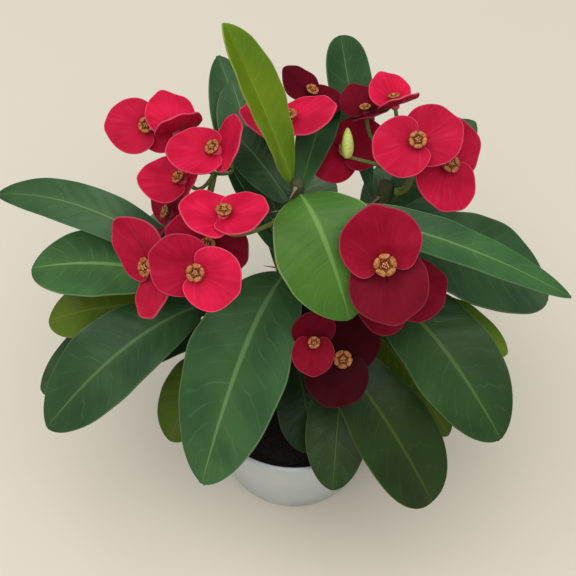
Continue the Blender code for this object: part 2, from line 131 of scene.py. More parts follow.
class Finish:
    def __init__(self, name, gloss):
        self.material = bpy.data.materials.new(name)
        self.material.use_nodes = True
        self.tree = self.material.node_tree
        self.shader = self.tree.nodes["Principled BSDF"]
        self.shader.inputs["Specular IOR Level"].default_value = gloss

    def node(self, kind, settings, inputs, output=0):
        made = self.tree.nodes.new("ShaderNode" + kind)
        for setting, value in settings.items():
            setattr(made, setting, value)
        for socket, value in inputs.items():
            if isinstance(value, Wire):
                self.tree.links.new(value.socket, made.inputs[socket])
            else:
                made.inputs[socket].default_value = value
        return Wire(self, made.outputs[output])

    def maths(self, operation, *values):
        return self.node("Math", {"operation": operation}, dict(enumerate(values)))

    def mix(self, factor, first, second):
        return self.node("Mix", {"data_type": "RGBA"}, {0: factor, 6: first, 7: second}, 2)

    def scaled(self, vector, amount):
        return self.node("VectorMath", {"operation": "SCALE"}, {0: vector, "Scale": amount})

    def stretched(self, vector, amounts):
        return self.node("VectorMath", {"operation": "MULTIPLY"}, {0: vector, 1: amounts})

    def value(self, name):  # a number kept on the piece's own points
        return self.node("Attribute", {"attribute_name": name}, {}, 2)

    def place(self):
        return self.node("TexCoord", {}, {}, 3)

    def flat(self, name):  # the piece's own flat map: as a vector, and its two numbers
        vector = self.node("UVMap", {"uv_map": name}, {})
        parts = self.node("SeparateXYZ", {}, {0: vector})
        return vector, parts, Wire(self, parts.socket.node.outputs[1])

    def noise(self, vector, scale, detail=2.0, roughness=0.5):
        return self.node("TexNoise", {}, {"Vector": vector, "Scale": scale, "Detail": detail,
                                          "Roughness": roughness})

    def cells(self, vector, scale):
        return self.node("TexVoronoi", {}, {"Vector": vector, "Scale": scale})

    def finished(self, colour, roughness, height=None, strength=0.3, distance=0.0005):
        feeds = {"Base Color": colour, "Roughness": roughness}
        if height:
            feeds["Normal"] = self.node("Bump", {}, {"Height": height, "Strength": strength,
                                                     "Distance": distance})
        for socket, value in feeds.items():
            if isinstance(value, Wire):
                self.tree.links.new(value.socket, self.shader.inputs[socket])
            else:
                self.shader.inputs[socket].default_value = value
        return self.material


# Finishes

leafPaints = {
    "leaf_mature": {"blade": (52, 90, 48), "patches": (38, 72, 38), "heart": (62, 98, 46),
                    "vein": (84, 122, 80), "rib": (102, 138, 88), "margin": (104, 128, 84)},
    "leaf_fresh": {"blade": (76, 122, 38), "patches": (62, 106, 36), "heart": (88, 134, 44),
                   "vein": (108, 150, 76), "rib": (126, 168, 86), "margin": (160, 176, 112)},
    "leaf_young": {"blade": (102, 130, 14), "patches": (84, 116, 16), "heart": (118, 142, 26),
                   "vein": (126, 150, 50), "rib": (136, 154, 70), "margin": (146, 160, 72)},
}
veins = {"pairs": 12.0, "slant": 1.1, "curve": 0.7, "skew": 0.42}


def leafFinish(slot, under):
    shades = {part: paint(*shade) for part, shade in leafPaints[slot].items()}
    shop = Finish(slot + ("_under" if under else "_top"), 0.24)
    place = shop.place()
    bladeMap, across, along = shop.flat("blade")
    signed = across * 2 - 1
    reach = signed.size()
    wobble = shop.noise(bladeMap, 4.0, 3.0)
    right = shop.maths("GREATER_THAN", signed, 0.0)
    phase = along * veins["pairs"] - reach * veins["slant"] - reach * reach * veins["curve"]
    phase = phase + right * veins["skew"] + wobble * 1.1
    strong = shop.noise(shop.stretched(bladeMap, (1.5, 8.0, 1.0)), 2.2).between(0.35, 0.68)
    sideVeins = phase.peak(0.10) * (1 - reach * 0.6) * (strong * 0.8 + 0.2)
    ribWidth = 0.085 - along * 0.055
    midrib = 1 - shop.maths("DIVIDE", reach, ribWidth).between(0.45, 1.2)
    patches = shop.noise(place, 34.0, 3.0).between(0.35, 0.68)
    grain = shop.noise(place, 900.0, 2.0)
    colour = shop.mix(patches, shades["blade"], shades["patches"])
    colour = shop.mix((1 - reach) ** 3 * 0.5, colour, shades["heart"])
    colour = shop.mix(sideVeins * (0.36 if under else 0.38), colour, shades["vein"])
    colour = shop.mix(midrib * (0.75 if under else 0.6), colour, shades["rib"])
    colour = shop.mix(reach.between(0.965, 0.99) * 0.5, colour, shades["margin"])
    specks = 1 - shop.cells(place, 260.0).between(0.04, 0.08)
    few = shop.noise(place, 60.0).between(0.64, 0.70)
    colour = shop.mix(specks * few * 0.7, colour, paint(180, 198, 176))
    if under:
        colour = shop.mix(0.45, colour, paint(112, 142, 104))
    warmer = shop.mix(shop.value("warmth"), (1, 1, 1, 1), (1.1, 1.0, 0.35, 1))
    # each leaf's own random tone times its painted light and shade scales the colour
    colour = shop.scaled(shop.stretched(colour, warmer), shop.value("tone"))
    height = (sideVeins + midrib * 1.6) * (1.0 if under else -0.6) + grain * 0.35 + patches * 0.3
    roughness = grain * 0.12 + patches * 0.10 + (0.52 if under else 0.36)
    return shop.finished(colour, roughness, height, 0.5, 0.0004)


# lit is the bract red in light, and the darker red is the same red as it looks in shade
bractPaints = {
    "top": {"lit": (204, 24, 62), "deep": (144, 4, 28), "streak": (220, 54, 94), "rim": (228, 96, 124)},
    "under": {"lit": (150, 8, 32), "deep": (112, 2, 22), "streak": (168, 26, 54), "rim": (196, 74, 98)}}


def bractFinish(side):
    shades = {part: paint(*shade) for part, shade in bractPaints[side].items()}
    shop = Finish("bract_" + side, 0.05)
    place = shop.place()
    _, across, along = shop.flat("petal")
    ahead = across * 2 - 1
    aside = along * 2 - 1
    reach = shop.maths("SQRT", ahead * ahead + aside * aside)
    fan = shop.maths("ARCTAN2", aside, ahead + 0.62)
    fanMap = shop.node("CombineXYZ", {}, {0: fan * 9.0, 1: reach * 0.7, 2: shop.value("tone") * 7.0})
    lines = shop.noise(fanMap, 1.6, 3.0)
    soft = shop.noise(place, 70.0, 2.0).between(0.3, 0.72)
    grain = shop.noise(place, 1400.0)
    colour = shop.mix(lines.between(0.42, 0.75) * 0.35, shades["lit"], shades["streak"])
    # soft random patches of the darker shaded red
    colour = shop.mix(soft * 0.45, colour, shades["deep"])
    # painted shade: the bract is darker towards the bloom's middle, where the cup sits
    heart = shop.maths("SQRT", (ahead + 0.54) * (ahead + 0.54) + aside * aside)
    colour = shop.mix((1 - heart.between(0.10, 0.75)) * 0.5, colour, shades["deep"])
    colour = shop.mix(reach.between(0.962, 0.99) * 0.55, colour, shades["rim"])
    # the bract's painted light and shade scales its colour
    colour = shop.scaled(colour, shop.value("tone"))
    height = lines * 0.8 + soft * 0.6 + grain * 0.12
    roughness = lines * 0.12 + grain * 0.10 + 0.46
    return shop.finished(colour, roughness, height, 0.35, 0.0005)


def cupFinish():  # green, with ochre spots
    shop = Finish("cupGreen", 0.4)
    place = shop.place()
    spots = shop.noise(place, 700.0, 3.0)
    colour = shop.mix(spots.between(0.35, 0.7), paint(92, 104, 34), paint(138, 98, 38))
    return shop.finished(colour, spots * 0.2 + 0.35, spots, 0.4, 0.0003)


def glandFinish():
    shop = Finish("glandOchre", 0.55)
    place = shop.place()
    spots = shop.noise(place, 620.0, 3.0)
    pits = shop.cells(place, 1500.0)
    colour = shop.mix(spots.between(0.35, 0.68), paint(176, 100, 30), paint(124, 62, 22))
    colour = shop.mix(pits.between(0.45, 0.75) * 0.5, colour, paint(204, 140, 66))
    return shop.finished(colour, spots * 0.25 + 0.25, pits * 0.6 + spots, 0.7, 0.0004)


def heartFinish():
    shop = Finish("heartRed", 0.5)
    spots = shop.noise(shop.place(), 900.0, 3.0)
    colour = shop.mix(spots.between(0.35, 0.65), paint(92, 22, 20), paint(168, 58, 44))
    return shop.finished(colour, spots * 0.3 + 0.4, spots, 0.6, 0.0003)


def antherFinish():
    shop = Finish("antherYellow", 0.5)
    spots = shop.noise(shop.place(), 1600.0)
    colour = shop.mix(spots.between(0.4, 0.6), paint(214, 150, 60), paint(232, 188, 110))
    return shop.finished(colour, spots * 0.3 + 0.4, spots, 0.5, 0.0002)


def stalkFinish():
    shop = Finish("stalkGreen", 0.4)
    place = shop.place()
    blush = shop.noise(place, 45.0, 2.0).between(0.45, 0.75)
    lines = shop.noise(shop.stretched(place, (1.0, 1.0, 0.25)), 900.0)
    colour = shop.mix(lines.between(0.35, 0.65), paint(84, 112, 42), paint(106, 132, 56))
    colour = shop.mix(blush * 0.5, colour, paint(122, 70, 44))
    return shop.finished(colour, lines * 0.2 + 0.38, lines, 0.3, 0.0003)


def budFinish():
    shop = Finish("budGreen", 0.4)
    place = shop.place()
    lines = shop.noise(shop.stretched(place, (1.0, 1.0, 0.15)), 800.0)
    colour = shop.mix(lines.between(0.35, 0.65), paint(168, 186, 78), paint(196, 206, 112))
    return shop.finished(colour, lines * 0.2 + 0.35, lines, 0.3, 0.0003)


def barkFinish():
    shop = Finish("stemBark", 0.25)
    place = shop.place()
    age = shop.value("age")
    cracks = shop.noise(shop.stretched(place, (1.0, 1.0, 0.18)), 420.0, 5.0, 0.65)
    bands = shop.noise(shop.stretched(place, (0.4, 0.4, 1.0)), 260.0, 3.0)
    colour = shop.mix(cracks.between(0.35, 0.65), paint(70, 54, 40), paint(128, 112, 92))
    colour = shop.mix(bands.between(0.52, 0.66) * 0.5, colour, paint(54, 42, 32))
    colour = shop.mix(age.between(0.45, 0.95) * 0.85, colour, paint(56, 70, 34))
    return shop.finished(colour, cracks * 0.25 + 0.6, cracks + bands * 0.7, 0.9, 0.0012)


def thornFinish():
    shop = Finish("thornBrown", 0.4)
    grain = shop.noise(shop.place(), 700.0, 3.0)
    colour = shop.mix(grain.between(0.3, 0.7), paint(92, 74, 58), paint(150, 132, 110))
    return shop.finished(colour, grain * 0.3 + 0.42, grain, 0.4, 0.0003)


def soilFinish():
    shop = Finish("pottingSoil", 0.2)
    place = shop.place()
    crumbs = shop.cells(place, 480.0)
    damp = shop.noise(place, 60.0, 3.0)
    fine = shop.noise(place, 1300.0, 4.0, 0.7)
    colour = shop.mix(fine.between(0.3, 0.7), paint(24, 18, 14), paint(58, 44, 34))
    colour = shop.mix(damp.between(0.4, 0.7) * 0.6, colour, paint(20, 15, 12))
    colour = shop.scaled(colour, shop.value("tone"))
    return shop.finished(colour, fine * 0.2 + 0.75, fine + crumbs, 1.0, 0.0015)


def potFinish():
    shop = Finish("potPlastic", 0.5)
    place = shop.place()
    clouds = shop.noise(place, 18.0, 3.0)
    scuffs = shop.noise(shop.stretched(place, (1.0, 1.0, 6.0)), 160.0, 4.0, 0.6)
    texture = shop.noise(place, 1500.0)
    low = shop.node("SeparateXYZ", {}, {0: place}, 2)
    # darker, browner and rougher in patches in the lowest 3 cm of the pot
    lowBand = (1 - low.between(0.0, 0.03)) * clouds.between(0.4, 0.65)
    colour = shop.mix(clouds.between(0.3, 0.7), paint(198, 204, 205), paint(188, 196, 198))
    colour = shop.mix(scuffs.between(0.60, 0.72) * 0.35, colour, paint(176, 182, 188))
    colour = shop.mix(lowBand * 0.35, colour, paint(170, 162, 150))
    roughness = scuffs * 0.18 + texture * 0.08 + lowBand * 0.15 + 0.26
    return shop.finished(colour, roughness, texture + scuffs * 0.6, 0.12, 0.0003)


def floorFinish():
    shop = Finish("paleFloor", 0.2)
    soft = shop.noise(shop.place(), 1.5)
    tint = paint(*floor["paint"])
    colour = shop.mix(soft * 0.3, tint, tuple(value * 0.97 for value in tint[:3]) + (1.0,))
    return shop.finished(colour, 0.7)


# Modelling helpers

def started(name):  # takes over the primitive that was just added, with its place in its mesh
    made = bpy.context.object
    made.name = name
    made.data.name = name
    made.data.transform(made.matrix_world)
    made.matrix_world = Matrix.Identity(4)
    return made


def copied(blank, name):
    made = bpy.data.objects.new(name, blank.data.copy())
    made.data.name = name
    bpy.context.scene.collection.objects.link(made)
    return made


def activate(thing):
    deselectAll()
    thing.select_set(True)
    bpy.context.view_layer.objects.active = thing


def opened(thing):  # ready to shape, with everything selected
    activate(thing)
    bpy.ops.object.mode_set(mode="EDIT")
    bpy.ops.mesh.select_all(action="SELECT")


def modified(thing, kind, **settings):
    activate(thing)
    modifier = thing.modifiers.new(kind.lower(), kind)
    for setting, value in settings.items():
        setattr(modifier, setting, value)
    bpy.ops.object.modifier_apply(modifier=modifier.name)
    return thing


def joined(pieces):
    deselectAll()
    for piece in pieces:
        piece.select_set(True)
    bpy.context.view_layer.objects.active = pieces[0]
    bpy.ops.object.join()
    return pieces[0]


def recalculated(thing):
    opened(thing)
    bpy.ops.mesh.normals_make_consistent(inside=False)
    bpy.ops.object.mode_set(mode="OBJECT")
    return thing


def smoothed(thing, angle):
    activate(thing)
    bpy.ops.object.shade_smooth_by_angle(angle=math.radians(angle))
    return thing


def painted(thing, *finishes):
    thing.data.materials.clear()
    for finish in finishes:
        thing.data.materials.append(finish)
    return thing


def marked(thing, name, amount):  # a number on every point, for the finish to read
    layer = thing.data.attributes.get(name) or thing.data.attributes.new(name, "FLOAT", "POINT")
    for index, vertex in enumerate(thing.data.vertices):
        layer.data[index].value = amount(vertex.co) if callable(amount) else amount
    return thing


def settled(piece, slot, *nodes):  # its colour slot, which is not used, and the solids that it stands for
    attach(piece, "root")
    if nodes:
        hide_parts(*nodes)
    return piece


def seedOf(name):  # the same number for a name on every run
    return sum(ord(letter) for letter in name)


def plainName(node):  # leaf_top_front becomes leafTopFront
    first, *others = node.split("_")
    return first + "".join(word.capitalize() for word in others)


def turnedShell(name, profile, sides, closed=False):
    # a ring, extruded and resized from one (radius, height) to the next; the two ends are filled,
    # or joined to each other if it is closed
    radius, height = profile[0]
    bpy.ops.mesh.primitive_circle_add(vertices=sides, radius=radius * mm, location=(0, 0, height * mm))
    made = started(name)
    opened(made)
    for nextRadius, nextHeight in profile[1:]:
        rise = (nextHeight - height) * mm
        bpy.ops.mesh.extrude_edges_move(TRANSFORM_OT_translate={"value": (0, 0, rise)})
        share = nextRadius / radius
        bpy.ops.transform.resize(value=(share, share, 1), center_override=(0, 0, nextHeight * mm))
        radius, height = nextRadius, nextHeight
    bpy.ops.mesh.select_all(action="DESELECT")
    bpy.ops.mesh.select_mode(type="EDGE")
    bpy.ops.mesh.select_non_manifold()
    if closed:
        bpy.ops.mesh.bridge_edge_loops()
    else:
        bpy.ops.mesh.edge_face_add()
        bpy.ops.mesh.select_mode(type="FACE")
        bpy.ops.mesh.poke()
    bpy.ops.object.mode_set(mode="OBJECT")
    return recalculated(made)


# Where the pieces stand: the same paths and places as in the part's source

stems = {
    "stem_centre": {"path": [(0, 2, 64), (0, 3, 95), (-2, 8, 150), (-3, 16, 215), (1, 24, 272)],
                    "radius": (6.5, 3.4)},
    "stem_left": {"path": [(-24, 2, 64), (-27, 2, 95), (-38, 5, 150), (-50, 9, 205), (-56, 12, 226)],
                  "radius": (6.0, 4.2)},
    "stem_right": {"path": [(22, 16, 64), (25, 17, 95), (34, 30, 150), (44, 46, 205), (49, 54, 228)],
                   "radius": (6.0, 4.2)},
}


def curveThrough(points, count):  # a smooth line, with count steps from point to point
    points = [Vector(point) for point in points]
    ends = [2 * points[0] - points[1]] + points + [2 * points[-1] - points[-2]]
    result = []
    for index in range(1, len(ends) - 2):
        a, b, c, d = ends[index - 1:index + 3]
        for step in range(count):
            t = step / count
            result.append(0.5 * (2 * b + (c - a) * t + (2 * a - 5 * b + 4 * c - d) * t * t
                                 + (3 * b - a - 3 * c + d) * t ** 3))
    return result + [points[-1]]


def steps(count):  # shares from 0 to 1
    return [step / count for step in range(count + 1)]


def arc(start, bend, end, share):  # a point on the curve from start to end that bends towards bend
    return start * (1 - share) ** 2 + bend * 2 * share * (1 - share) + end * share ** 2


def stemAt(stem, height):  # axis point, radius and direction at a height
    path = curveThrough(stems[stem]["path"], 8)
    foot, tip = stems[stem]["radius"]
    for low, high in zip(path, path[1:]):
        if low.z <= height <= high.z:
            share = (height - low.z) / (high.z - low.z)
            whole = (height - path[0].z) / (path[-1].z - path[0].z)
            return low.lerp(high, share), foot + (tip - foot) * whole, (high - low).normalized()


def seatOnStem(stem, height, end, room):
    axis, radius, lean = stemAt(stem, height)
    heading = Vector((end[0] - axis.x, end[1] - axis.y, 0)).normalized()
    reach = radius / math.sqrt(1 - lean.dot(heading) ** 2)
    return axis + heading * (reach + room), heading


def pipe(name, points, radii, sides):
    # a round curve with closed ends, made a mesh
    line = bpy.data.curves.new(name, "CURVE")
    line.dimensions = "3D"
    line.bevel_depth = 1.0
    line.bevel_resolution = sides // 4 - 1
    line.use_fill_caps = True
    line.twist_mode = "MINIMUM"
    spline = line.splines.new("POLY")
    spline.points.add(len(points) - 1)
    for target, point, radius in zip(spline.points, points, radii):
        target.co = (*(point * mm), 1)
        target.radius = radius * mm
    made = bpy.data.objects.new(name, line)
    bpy.context.scene.collection.objects.link(made)
    activate(made)
    bpy.ops.object.convert(target="MESH")
    made = bpy.context.object
    opened(made)
    bpy.ops.mesh.remove_doubles(threshold=0.000002)
    bpy.ops.object.mode_set(mode="OBJECT")
    return recalculated(made)


# Pot

pot = {"height": 100, "rim": 60, "foot": 47, "wall": 2.2, "floor": 4, "lip": 5, "lipStep": 0.8,
       "sides": 128, "recess": 1.6, "rimRound": 1.2}


def makePot():
    slope = (pot["rim"] - pot["foot"]) / pot["height"]
    underLip = pot["foot"] + slope * (pot["height"] - pot["lip"])
    innerFoot = pot["foot"] + slope * pot["floor"] - pot["wall"]
    innerRim = pot["rim"] - pot["wall"]
    top, lip, step = pot["height"], pot["lip"], pot["lipStep"]
    profile = [(innerFoot - 6, pot["recess"]), (innerFoot - 5, 0.1), (innerFoot - 4, 0),
               (pot["foot"] - 1.4, 0), (pot["foot"] - 0.4, 0.4), (pot["foot"], 1.4),
               (underLip - step, top - lip - 1.5), (underLip - step + 0.1, top - lip - 0.9),
               (pot["rim"] - 0.9, top - lip - 0.3), (pot["rim"] - 0.4, top - lip + 0.4),
               (pot["rim"], top - 1.3), (pot["rim"] - 0.25, top - 0.45), (pot["rim"] - 0.9, top - 0.05),
               (innerRim + 0.6, top), (innerRim + 0.1, top - 0.4), (innerRim, top - 1.4),
               (innerFoot + 0.6, pot["floor"] + 2.0), (innerFoot - 0.6, pot["floor"] + 0.3),
               (innerFoot - 2.0, pot["floor"])]
    made = painted(smoothed(turnedShell("pot", profile, pot["sides"]), 35), potFinish())
    settled(made, "pot_plastic", "pot")


# Soil: a crumbly filling with loose crumbs lying on it

soil = {"top": 90, "bottom": 4.3, "room": 0.6, "bump": 2.2, "rings": 26, "sides": 96, "crumbs": 420,
        "smallest": 0.7, "largest": 2.0, "seed": 7}


def potInside(height):  # inner radius of the pot
    slope = (pot["rim"] - pot["foot"]) / pot["height"]
    foot = pot["foot"] + slope * pot["floor"] - pot["wall"]
    rim = pot["rim"] - pot["wall"]
    return foot + (rim - foot) * (height - pot["floor"]) / (pot["height"] - pot["rimRound"] - pot["floor"])


def soilTop(x, y):
    lumps = noise.noise(Vector((x, y, 3.0)) * 0.07) * 1.0 + noise.noise(Vector((x, y, 9.0)) * 0.22) * 0.5
    edge = min(1, max(0, (potInside(soil["top"]) - math.hypot(x, y)) / 8))
    return soil["top"] - 2 + 2 * edge + lumps * soil["bump"] * edge


def makeSoil():
    rim = potInside(soil["top"]) - soil["room"]
    low = potInside(soil["bottom"]) - soil["room"]
    profile = [(low, soil["bottom"]), (rim, soil["top"] - 2)]
    profile += [(rim * (1 - ring / soil["rings"]), soil["top"]) for ring in range(1, soil["rings"])]
    made = turnedShell("soil", profile, soil["sides"])
    for vertex in made.data.vertices:
        x, y, z = vertex.co / mm
        if z > soil["top"] - 3:
            vertex.co.z = soilTop(x, y) * mm
    marked(made, "tone", 1.0)
    finish = soilFinish()
    settled(painted(smoothed(made, 70), finish), "potting_soil", "soil")

    draw = random.Random(soil["seed"])
    bpy.ops.mesh.primitive_ico_sphere_add(subdivisions=1, radius=mm)
    crumb = started("crumb")
    crumbs = []
    for _ in range(soil["crumbs"]):
        reach = rim * math.sqrt(draw.random()) - 2
        angle = draw.uniform(0, 2 * math.pi)
        x, y = reach * math.cos(angle), reach * math.sin(angle)
        size = draw.uniform(soil["smallest"], soil["largest"])
        piece = copied(crumb, "crumb")
        angle = draw.uniform(0, 2 * math.pi)
        turn = Matrix.Rotation(angle, 4, Vector((draw.random(), draw.random(), 1)).normalized())
        shape = Matrix.Diagonal((size, size * draw.uniform(0.6, 1), size * draw.uniform(0.4, 0.8), 1))
        place = Vector((x, y, soilTop(x, y) + size * 0.2)) * mm
        piece.data.transform(Matrix.Translation(place) @ turn @ shape)
        crumbs.append(marked(piece, "tone", draw.uniform(0.6, 1.9)))
    bpy.data.objects.remove(crumb)
    loose = joined(crumbs)
    loose.name = loose.data.name = "soilCrumbs"
    settled(painted(smoothed(loose, 40), finish), "potting_soil")


# Leaves: one flat blade, copied and bent along the spine of each leaf

# margin, body and rib are shares of the thickness; room is the gap between a leaf's foot and its stem
blade = {"rows": 88, "columns": 20, "thickness": 2.6, "margin": 0.28, "body": 0.36, "rib": 0.62,
         "quilt": 0.2, "flutter": 0.5, "uneven": 0.07, "room": 0.6}

# stem, height of the foot, tip, width, arch above the straight line, roll, fold, wave, belly (0 is
# widest near the tip, 1 is pointed and widest in the middle), finish
leaves = {
    "leaf_top_front": ("stem_centre", 264, (26, -32, 232), 54, 12, 0, 8, 0.8, 0.8, "leaf_fresh"),
    "leaf_top_young": ("stem_centre", 266, (-33, 56, 345), 25, 6, 0, 36, 0.3, 0.6, "leaf_young"),
    "leaf_top_folded": ("stem_centre", 252, (18, 97, 247), 22, 0, 0, 20, 0.4, 0.1, "leaf_mature"),
    "leaf_top_back": ("stem_centre", 250, (-34, 66, 256), 27, 4, 0, 12, 0.5, 0.7, "leaf_mature"),
    "leaf_front_large": ("stem_centre", 205, (-51, -78, 128), 58, 26, 6, 8, 1.0, 0.7, "leaf_mature"),
    "leaf_front_low": ("stem_right", 126, (21, -76, 112), 36, 16, 0, 10, 0.8, 0.2, "leaf_mature"),
    "leaf_front_right": ("stem_centre", 158, (77, -81, 107), 48, 24, 0, 8, 1.0, -0.3, "leaf_mature"),
    "leaf_front_inner": ("stem_centre", 125, (10, -54, 112), 34, 12, 0, 10, 0.6, 0.3, "leaf_mature"),
    "leaf_back_tall": ("stem_centre", 208, (-42, 121, 250), 36, 4, 0, 14, 0.6, 0.9, "leaf_mature"),
    "leaf_back_blunt": ("stem_centre", 216, (-34, 98, 256), 32, 0, 0, 10, 0.6, 0.2, "leaf_mature"),
    "leaf_back_low": ("stem_centre", 172, (5, 122, 138), 46, 24, 0, 8, 1.0, 0.4, "leaf_mature"),
    "leaf_right_long": ("stem_centre", 250, (143, -6, 208), 22, 14, 6, 8, 1.0, 0.9, "leaf_mature"),
    "leaf_left_front": ("stem_left", 182, (-134, -55, 152), 47, 18, 0, 8, 1.0, 0.5, "leaf_mature"),
    "leaf_left_yellow": ("stem_left", 170, (-138, 6, 160), 40, 12, 0, 8, 0.8, 0.4, "leaf_young"),
    "leaf_left_middle": ("stem_left", 196, (-143, 21, 192), 43, 12, 0, 8, 0.8, 0.5, "leaf_mature"),
    "leaf_left_long": ("stem_left", 209, (-164, 60, 206), 24, 22, -24, 8, 0.8, 1.0, "leaf_mature"),
    "leaf_left_low": ("stem_left", 150, (-149, -14, 114), 44, 20, 0, 8, 0.8, 0.5, "leaf_mature"),
    "leaf_left_olive": ("stem_left", 138, (-72, -46, 112), 34, 14, 0, 8, 0.8, 0.4, "leaf_young"),
    "leaf_left_back": ("stem_left", 162, (-75, 98, 138), 44, 22, 0, 8, 1.0, 0.4, "leaf_mature"),
    "leaf_right_under": ("stem_right", 184, (144, 22, 158), 58, 16, 0, 8, 1.0, 0.6, "leaf_mature"),
    "leaf_right_front": ("stem_right", 166, (113, -56, 138), 53, 20, 0, 8, 1.0, 0.4, "leaf_mature"),
    "leaf_right_fresh": ("stem_right", 146, (124, 2, 128), 30, 12, 0, 8, 0.8, 0.4, "leaf_young"),
    "leaf_right_low": ("stem_right", 138, (90, -38, 100), 26, 10, 0, 8, 0.6, 0.2, "leaf_young"),
    "leaf_right_tip": ("stem_right", 206, (97, 87, 236), 28, 2, 0, 10, 0.5, 0.6, "leaf_mature"),
    "leaf_right_top": ("stem_right", 208, (24, 124, 263), 27, -7, 0, 26, 0.4, -0.8, "leaf_mature"),
    "leaf_right_back": ("stem_right", 172, (86, 116, 142), 50, 22, 0, 8, 1.0, 0.5, "leaf_mature"),
}

leafTones = {"leaf_mature": (0.86, 1.12), "leaf_fresh": (0.95, 1.05), "leaf_young": (0.92, 1.08)}
leafShade = {  # brightness of some leaves, low in the shade of others, and how olive they are
    "leaf_front_large": (1.2, 0.0),
    "leaf_front_low": (0.5, 1.0),
    "leaf_front_right": (0.4, 1.0),
    "leaf_front_inner": (0.35, 0.5),
    "leaf_left_front": (0.64, 0.1),
    "leaf_left_middle": (1.2, 0.2),
    "leaf_right_front": (0.7, 0.5),
    "leaf_right_long": (1.2, 0.0),
    "leaf_right_under": (0.85, 0.0),
    "leaf_right_low": (0.6, 0.0),
    "leaf_left_olive": (0.55, 0.0),
    "leaf_left_yellow": (0.6, 0.5),
    "leaf_left_low": (0.7, 0.0),
    "leaf_top_front": (0.85, 0.0),
    "leaf_top_folded": (0.8, 0.0),
    "leaf_top_back": (0.7, 0.0),
}


def bladeWidth(share, belly):
    foot, tip, bend = 0.85 - 0.4 * belly, 3.2 - 1.2 * belly, 0.55 + 0.15 * belly
    widest = (foot / (foot + tip * bend)) ** (1 / tip)
    body = share ** foot * (1 - share ** tip) ** bend
    return max(0.07, body / (widest ** foot * (1 - widest ** tip) ** bend))


def modelBlade():
    bpy.ops.mesh.primitive_grid_add(x_subdivisions=blade["columns"], y_subdivisions=blade["rows"], size=2)
    made = started("blade")
    made.data.uv_layers[0].name = "blade"
    for vertex in made.data.vertices:
        vertex.co.y = 1 - (1 - (vertex.co.y + 1) / 2) ** 1.5  # closer rows near the tip
    for loop, corner in zip(made.data.loops, made.data.uv_layers[0].data):
        corner.uv.y = made.data.vertices[loop.vertex_index].co.y
    group = made.vertex_groups.new(name="wall")
    for vertex in made.data.vertices:
        column, share = abs(vertex.co.x), vertex.co.y
        ribHere = math.exp(-(column / (0.10 + 0.5 * (1 - share) ** 12)) ** 2) * (1.1 - share)
        wall = blade["margin"] + (blade["body"] - blade["margin"]) * (1 - column ** 4)
        group.add([vertex.index], min(1, wall + blade["rib"] * ribHere), "REPLACE")
    return made


def quilting(column, share):  # the blade rises and sinks between its side veins
    reach = abs(column)
    phase = share * veins["pairs"] - reach * veins["slant"] - reach * reach * veins["curve"]
    phase += (veins["skew"] if column > 0 else 0) + 0.35
    return math.cos(2 * math.pi * phase) * min(1, reach * 4) * (1 - reach ** 3) * math.sin(math.pi * share)


def makeLeaf(node, flat, tops, unders):
    stem, height, tip, width, arch, roll, fold, wave, belly, slot = leaves[node]
    tip = Vector(tip)
    foot, heading = seatOnStem(stem, height, tip, blade["room"])
    middle = foot.lerp(tip, 0.45) + Vector((0, 0, 2 * arch))
    side = Vector((-heading.y, heading.x, 0))
    seed = seedOf(node)
    made = copied(flat, plainName(node))
    for vertex in made.data.vertices:
        column, share = vertex.co.x, vertex.co.y
        point = arc(foot, middle, tip, share)
        along = ((middle - foot) * (1 - share) + (tip - middle) * share).normalized()
        across = (side - along * side.dot(along)).normalized()
        across = Matrix.Rotation(math.radians(roll) * min(1, share * 3), 3, along) @ across
        up = across.cross(along) * -1
        if up.z < 0 and abs(along.z) < 0.9:
            up = -up
        half = bladeWidth(share, belly) * width / 2
        wander = noise.noise(Vector((share * 4.2, seed, 2.0 if column > 0 else 5.0)))
        half *= 1 + blade["uneven"] * wander * math.sin(math.pi * share)
        slant = math.radians(fold) * min(1, share * 4)
        ripple = wave * math.sin(share * 11 + seed + (2 if column > 0 else 0)) * column ** 2
        flutter = blade["flutter"] * math.sin(share * 31 + seed * 2 + column * 2) * column ** 4
        lift = abs(column) * half * math.sin(slant) + (ripple + flutter) * math.sin(math.pi * share)
        lift -= blade["quilt"] * quilting(column, share)
        vertex.co = (point + across * column * half * math.cos(slant) + up * lift) * mm
    low, high = leafTones[slot]
    shade, warmth = leafShade.get(node, (1.0, 0.0))
    # the leaf's random tone times its painted light and shade from leafShade
    marked(made, "tone", (low + (high - low) * ((seed * 37) % 100) / 100) * shade)
    marked(made, "warmth", warmth)
    modified(made, "SOLIDIFY", thickness=blade["thickness"] * mm, offset=0.0, material_offset=1,
             material_offset_rim=0, vertex_group="wall", use_even_offset=False)
    painted(made, tops[slot], unders[slot])
    settled(smoothed(made, 60), slot, node)


def makeLeaves():
    flat = modelBlade()
    tops = {slot: leafFinish(slot, False) for slot in leafPaints}
    unders = {slot: leafFinish(slot, True) for slot in leafPaints}
    for node in leaves:
        makeLeaf(node, flat, tops, unders)
    bpy.data.objects.remove(flat)


# Blooms: one flat bract, copied and bent twice for each bloom, round a collar

bract = {"spokes": 64, "radius": 14.4, "offset": 7.8, "stretch": 1.06, "dish": 1.2, "ripple": 0.5,
         "point": 0.07, "upperLift": 1.1, "lowerLift": -1.5, "notch": 0.64, "thickness": 0.7,
         "uneven": 0.06, "crimp": 0.35, "crease": 0.5, "collar": 3.2, "collarHole": 1.6,
         "collarFoot": -2.4, "collarHead": 2.0, "rings": (0.03, 0.04, 0.08, 0.11, 0.13, 0.14, 0.14, 0.13)}

